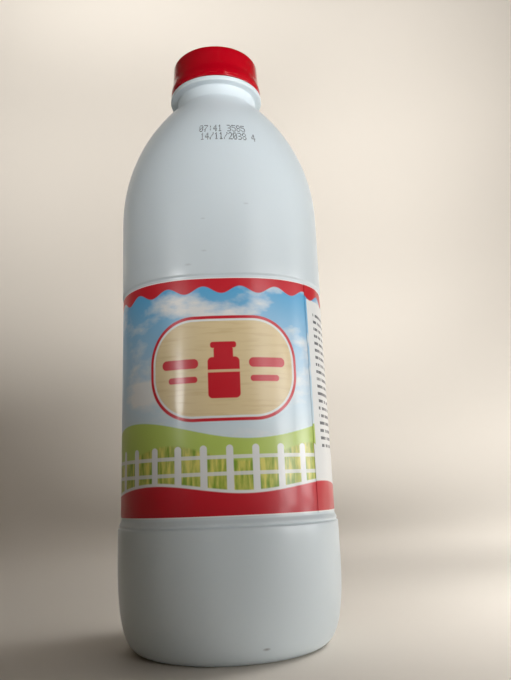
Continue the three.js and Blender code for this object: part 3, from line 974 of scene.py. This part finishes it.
class BuildDateCode(Operator):
    """Model the plain number that is sprayed on the shoulder in two rows of ink dots"""
    bl_idname = "milk_bottle.build_date_code"
    bl_label = "Date code"

    ROWS = ("07:41 3585", "14/11/2038 4")

    # The seed of the dots' sizes, and the smallest and largest share of a dot's usual size
    SEED = 7
    SIZE_SHARES = (0.8, 1.15)

    # Each figure is five dots wide and seven high, from the top row down
    FIGURES = {
        "0": ("01110", "10001", "10011", "10101", "11001", "10001", "01110"),
        "1": ("00100", "01100", "00100", "00100", "00100", "00100", "01110"),
        "2": ("01110", "10001", "00001", "00010", "00100", "01000", "11111"),
        "3": ("11110", "00001", "00001", "01110", "00001", "00001", "11110"),
        "4": ("00010", "00110", "01010", "10010", "11111", "00010", "00010"),
        "5": ("11111", "10000", "11110", "00001", "00001", "10001", "01110"),
        "7": ("11111", "00001", "00010", "00100", "01000", "01000", "01000"),
        "8": ("01110", "10001", "10001", "01110", "10001", "10001", "01110"),
        ":": ("00000", "00100", "00100", "00000", "00100", "00100", "00000"),
        "/": ("00001", "00001", "00010", "00100", "01000", "10000", "10000"),
    }

    def execute(self, context):
        sizes = context.scene.code_sizes
        body = context.scene.bottle_sizes
        heights = (sizes.upper_height, sizes.lower_height)
        starts = (sizes.upper_start, sizes.lower_start)
        places = []
        for text, height, start in zip(self.ROWS, heights, starts):
            places += self.dot_places(text, height, start, sizes, body)
        dot = self.ink_dot(sizes)
        draws = random.Random(self.SEED)
        copies = []
        for place in places:
            copy = dot.copy()
            copy.data = dot.data.copy()
            copy.data.transform(place @ Matrix.Scale(draws.uniform(*self.SIZE_SHARES), 4))
            context.collection.objects.link(copy)
            copies.append(copy)
        bpy.data.objects.remove(dot)
        deselect_all()
        for copy in copies:
            copy.select_set(True)
        context.view_layer.objects.active = copies[0]
        bpy.ops.object.join()
        piece = context.object
        piece.name = "date_code"
        piece.data.name = "date_code"
        smooth_shade(piece, degrees=60)
        finish_piece(piece, sprayed_ink(context.scene.finish_colours), "bottle_white")
        return {"FINISHED"}

    def ink_dot(self, sizes, corners=10, top_share=0.75):
        """One low dot with a sloping rim, lying on the floor at the origin."""
        deselect_all()
        bpy.ops.mesh.primitive_circle_add(vertices=corners, radius=sizes.dot_radius, fill_type="NGON")
        dot = bpy.context.object
        bpy.ops.object.mode_set(mode="EDIT")
        bpy.ops.mesh.select_all(action="SELECT")
        bpy.ops.mesh.extrude_region_move(TRANSFORM_OT_translate={"value": (0, 0, sizes.dot_height)})
        bpy.ops.transform.resize(value=(top_share, top_share, 1))
        bpy.ops.mesh.select_all(action="SELECT")
        bpy.ops.mesh.normals_make_consistent(inside=False)
        bpy.ops.object.mode_set(mode="OBJECT")
        return dot

    def dot_places(self, text, height, start, sizes, body):
        """The place of each dot of a row, sunk a third of its height into the shoulder."""
        middle_dot = 3
        places = []
        row_start = shoulder_point(body, start, height)
        reach = math.hypot(row_start.x, row_start.y)
        for number, figure in enumerate(text):
            for row, dots in enumerate(self.FIGURES.get(figure, ())):
                for column, inked in enumerate(dots):
                    if inked == "1":
                        across = number * sizes.character_pitch + column * sizes.column_pitch
                        turn = start + across / reach
                        up = height + (middle_dot - row) * sizes.row_pitch
                        places.append(self.on_shoulder(body, turn, up, sizes.dot_height / 3))
        return places

    def on_shoulder(self, body, turn, height, depth):
        """A matrix whose Z stands out of the shoulder at an angle and a height."""
        small = 0.1 * MM
        rough_radius = 35 * MM
        point = shoulder_point(body, turn, height)
        along = (shoulder_point(body, turn + small / rough_radius, height) - point).normalized()
        upward = (shoulder_point(body, turn, height + small) - point).normalized()
        outward = along.cross(upward).normalized()
        upward = outward.cross(along)
        turned = Matrix((along, upward, outward)).transposed().to_4x4()
        return Matrix.Translation(point - outward * depth) @ turned


class BuildStudio(Operator):
    """Set up the pale floor with its backdrop, the soft lights and the camera"""
    bl_idname = "milk_bottle.build_studio"
    bl_label = "Studio"

    def execute(self, context):
        settings = context.scene.studio_settings
        colours = context.scene.finish_colours
        floor = self.add_floor(settings, colours)
        self.light_bottle(settings)
        self.light_stage(settings, self.lit_alone("lit_stage", [floor]))
        pieces = [bpy.data.objects[name] for name in ("bottle_body", "screw_cap", "label_film")]
        self.light_back(settings, self.lit_alone("lit_pieces", pieces))
        self.light_world(context, settings)
        self.add_camera(context, settings)
        context.scene.view_settings.view_transform = "Standard"
        return {"FINISHED"}

    def add_floor(self, settings, colours, curve_steps=24, steps_round=96):
        """A flat floor that curves up into a backdrop on all sides."""
        floor = settings.floor_radius
        curve = settings.backdrop_radius - floor
        profile = [(0.0, 0.0), (floor, 0.0)]
        profile += arc((floor, curve), curve, -math.pi / 2, 0, curve_steps)[1:]
        profile.append((settings.backdrop_radius, settings.backdrop_height))
        piece = turn_profile("studio_floor", profile, steps_round)
        bpy.ops.mesh.flip_normals()
        smooth_shade(piece, degrees=60)
        piece.data.materials.append(matt_painted_board(colours))
        return piece

    def lit_alone(self, name, objects):
        """A group that holds the only objects that some lights reach."""
        group = bpy.data.collections.new(name)
        for lit in objects:
            group.objects.link(lit)
        return group

    def add_light(self, name, place, target, size, spread, watts, only=None):
        """A round soft light that faces a point. Spread is the angle of its beam in degrees."""
        bpy.ops.object.light_add(type="AREA", location=place)
        light = bpy.context.object
        light.name = name
        light.data.shape = "DISK"
        light.data.size = size
        light.data.energy = watts
        light.data.spread = math.radians(spread)
        light.rotation_euler = (Vector(target) - Vector(place)).to_track_quat("-Z", "Y").to_euler()
        light.visible_camera = False
        if only:
            light.light_linking.receiver_collection = only
        return light

    # Name, place, target, size, beam in degrees, and the setting of its power with its share of that
    BOTTLE_LIGHTS = (
        ("side_light", (0.78, -0.16, 0.15), (0, 0, 0.10), 0.35, 40, "side_power", 1.0),
        ("front_light", (0.60, -0.50, 0.12), (0, 0, 0.10), 0.35, 40, "front_power", 1.0),
        ("shoulder_light_right", (0.25, -0.44, 0.294), (0, 0, 0.19), 0.32, 32, "shoulder_power", 0.68),
        ("shoulder_light_left", (-0.30, -0.45, 0.22), (0, 0, 0.165), 0.15, 16, "shoulder_power", 0.32),
        ("neck_light", (0.33, -0.55, 0.04), (0, 0, 0.224), 0.12, 12, "neck_power", 1.0),
    )

    def light_bottle(self, settings):
        """Soft lights low on the right, narrow ones on the shoulder and upper body, and one on the neck."""
        for name, place, target, size, spread, setting, share in self.BOTTLE_LIGHTS:
            self.add_light(name, place, target, size, spread, getattr(settings, setting) * share)

    # What each backdrop light faces, as a bearing in degrees and a height in metres, and its share
    BACKDROP_AIMS = ((-26, 0.9, 0.125), (-26, 1.5, 0.065), (-26, 2.0, 0.066),
                     (-9, 0.9, 0.018), (-9, 1.5, 0.047), (-9, 2.0, 0.100),
                     (9, 0.4, 0.130), (9, 0.9, 0.065), (9, 1.5, 0.065), (9, 2.0, 0.050),
                     (26, 0.4, 0.077), (26, 0.9, 0.065), (26, 1.5, 0.087), (26, 2.0, 0.037))

    # Place and target of each floor light, its size, its beam in degrees and its share
    FLOOR_LIGHTS = (((0.90, 0.50, 0.90), (0.60, 0.50, 0), 0.8, 70, 0.500),
                    ((0.90, 0.80, 0.80), (0.70, 0.70, 0), 0.6, 80, 0.187),
                    ((0.70, 0.30, 0.70), (0.40, 0.25, 0), 0.5, 60, 0.256),
                    ((0.30, 0.05, 0.20), (0.20, 0, 0), 0.2, 80, 0.057))

    def light_stage(self, settings, only, size=0.5, spread=120, step_back=0.8):
        """Lights that reach the floor and backdrop alone, shared out so that both have the
        photograph's tones. A backdrop light stands a step back from what it faces."""
        middle = Vector((0, 0, 0.9))
        curve = settings.backdrop_radius - settings.floor_radius
        for bearing, height, share in self.BACKDROP_AIMS:
            turn = math.radians(bearing)
            below = max(0.0, curve - height)
            reach = settings.floor_radius + math.sqrt(curve ** 2 - below ** 2)
            target = Vector((reach * math.sin(turn), reach * math.cos(turn), height))
            place = target + step_back * (middle - target).normalized()
            name = f"backdrop_light_{bearing}_{round(height * 10)}"
            self.add_light(name, place, target, size, spread, settings.backdrop_power * share, only)
        for place, target, width, beam, share in self.FLOOR_LIGHTS:
            self.add_light("floor_light", place, target, width, beam, settings.floor_power * share, only)

    def light_back(self, settings, only, size=0.4, spread=60):
        """Lights on the side that the photograph doesn't show, with no gloss along the outline."""
        target = (0, 0, 0.12)
        for name, across in (("back_light_left", -0.35), ("back_light_right", 0.35)):
            place = (across, 0.75, 0.45)
            light = self.add_light(name, place, target, size, spread, settings.back_power / 2, only)
            light.visible_glossy = False

    def light_world(self, context, settings):
        """Faint even light from all round, a little warm."""
        warm_white = (1.0, 0.97, 0.93, 1.0)
        world = bpy.data.worlds.new("studio")
        world.use_nodes = True
        background = world.node_tree.nodes["Background"]
        background.inputs["Color"].default_value = warm_white
        background.inputs["Strength"].default_value = settings.sky_strength
        context.scene.world = world

    def add_camera(self, context, settings):
        """The camera at the photograph's place, aim and lens."""
        bpy.ops.object.camera_add(location=(0, -settings.camera_distance, settings.camera_height))
        camera = bpy.context.object
        aim = Euler((math.pi / 2 + settings.camera_pitch, 0, -settings.camera_yaw)).to_matrix()
        lean = Matrix.Rotation(-settings.camera_roll, 3, "Z")
        camera.rotation_euler = (aim @ lean).to_euler()
        camera.data.lens = settings.camera_lens
        camera.data.sensor_width = 36
        camera.data.clip_start = 0.01
        camera.data.clip_end = 20
        context.scene.camera = camera


class BottlePanel(Panel):
    """Lists the steps in the 3D view's sidebar."""
    bl_idname = "VIEW3D_PT_milk_bottle"
    bl_label = "Milk Bottle"
    bl_space_type = "VIEW_3D"
    bl_region_type = "UI"
    bl_category = "Milk Bottle"

    def draw(self, context):
        for step in STEPS:
            self.layout.operator(step.bl_idname)
        for name in GROUPS:
            group = getattr(context.scene, name)
            box = self.layout.box()
            box.label(text=name.replace("_", " ").capitalize())
            for prop in type(group).__annotations__:
                box.prop(group, prop)


GROUPS = {
    "bottle_sizes": BottleSizes,
    "cap_sizes": CapSizes,
    "label_sizes": LabelSizes,
    "code_sizes": CodeSizes,
    "finish_colours": FinishColours,
    "studio_settings": StudioSettings,
}
STEPS = (BuildBottle, BuildCap, BuildLabel, BuildDateCode, BuildStudio)


def register():
    for group in GROUPS.values():
        bpy.utils.register_class(group)
    for step in (*STEPS, BottlePanel):
        bpy.utils.register_class(step)
    for name, group in GROUPS.items():
        setattr(bpy.types.Scene, name, PointerProperty(type=group))


def unregister():
    for name in GROUPS:
        delattr(bpy.types.Scene, name)
    for step in (BottlePanel, *reversed(STEPS)):
        bpy.utils.unregister_class(step)
    for group in reversed(GROUPS.values()):
        bpy.utils.unregister_class(group)


def main():
    register()
    bpy.ops.milk_bottle.build_bottle()
    bpy.ops.milk_bottle.build_cap()
    bpy.ops.milk_bottle.build_label()
    bpy.ops.milk_bottle.build_date_code()
    bpy.ops.milk_bottle.build_studio()


if __name__ == "__main__":
    main()
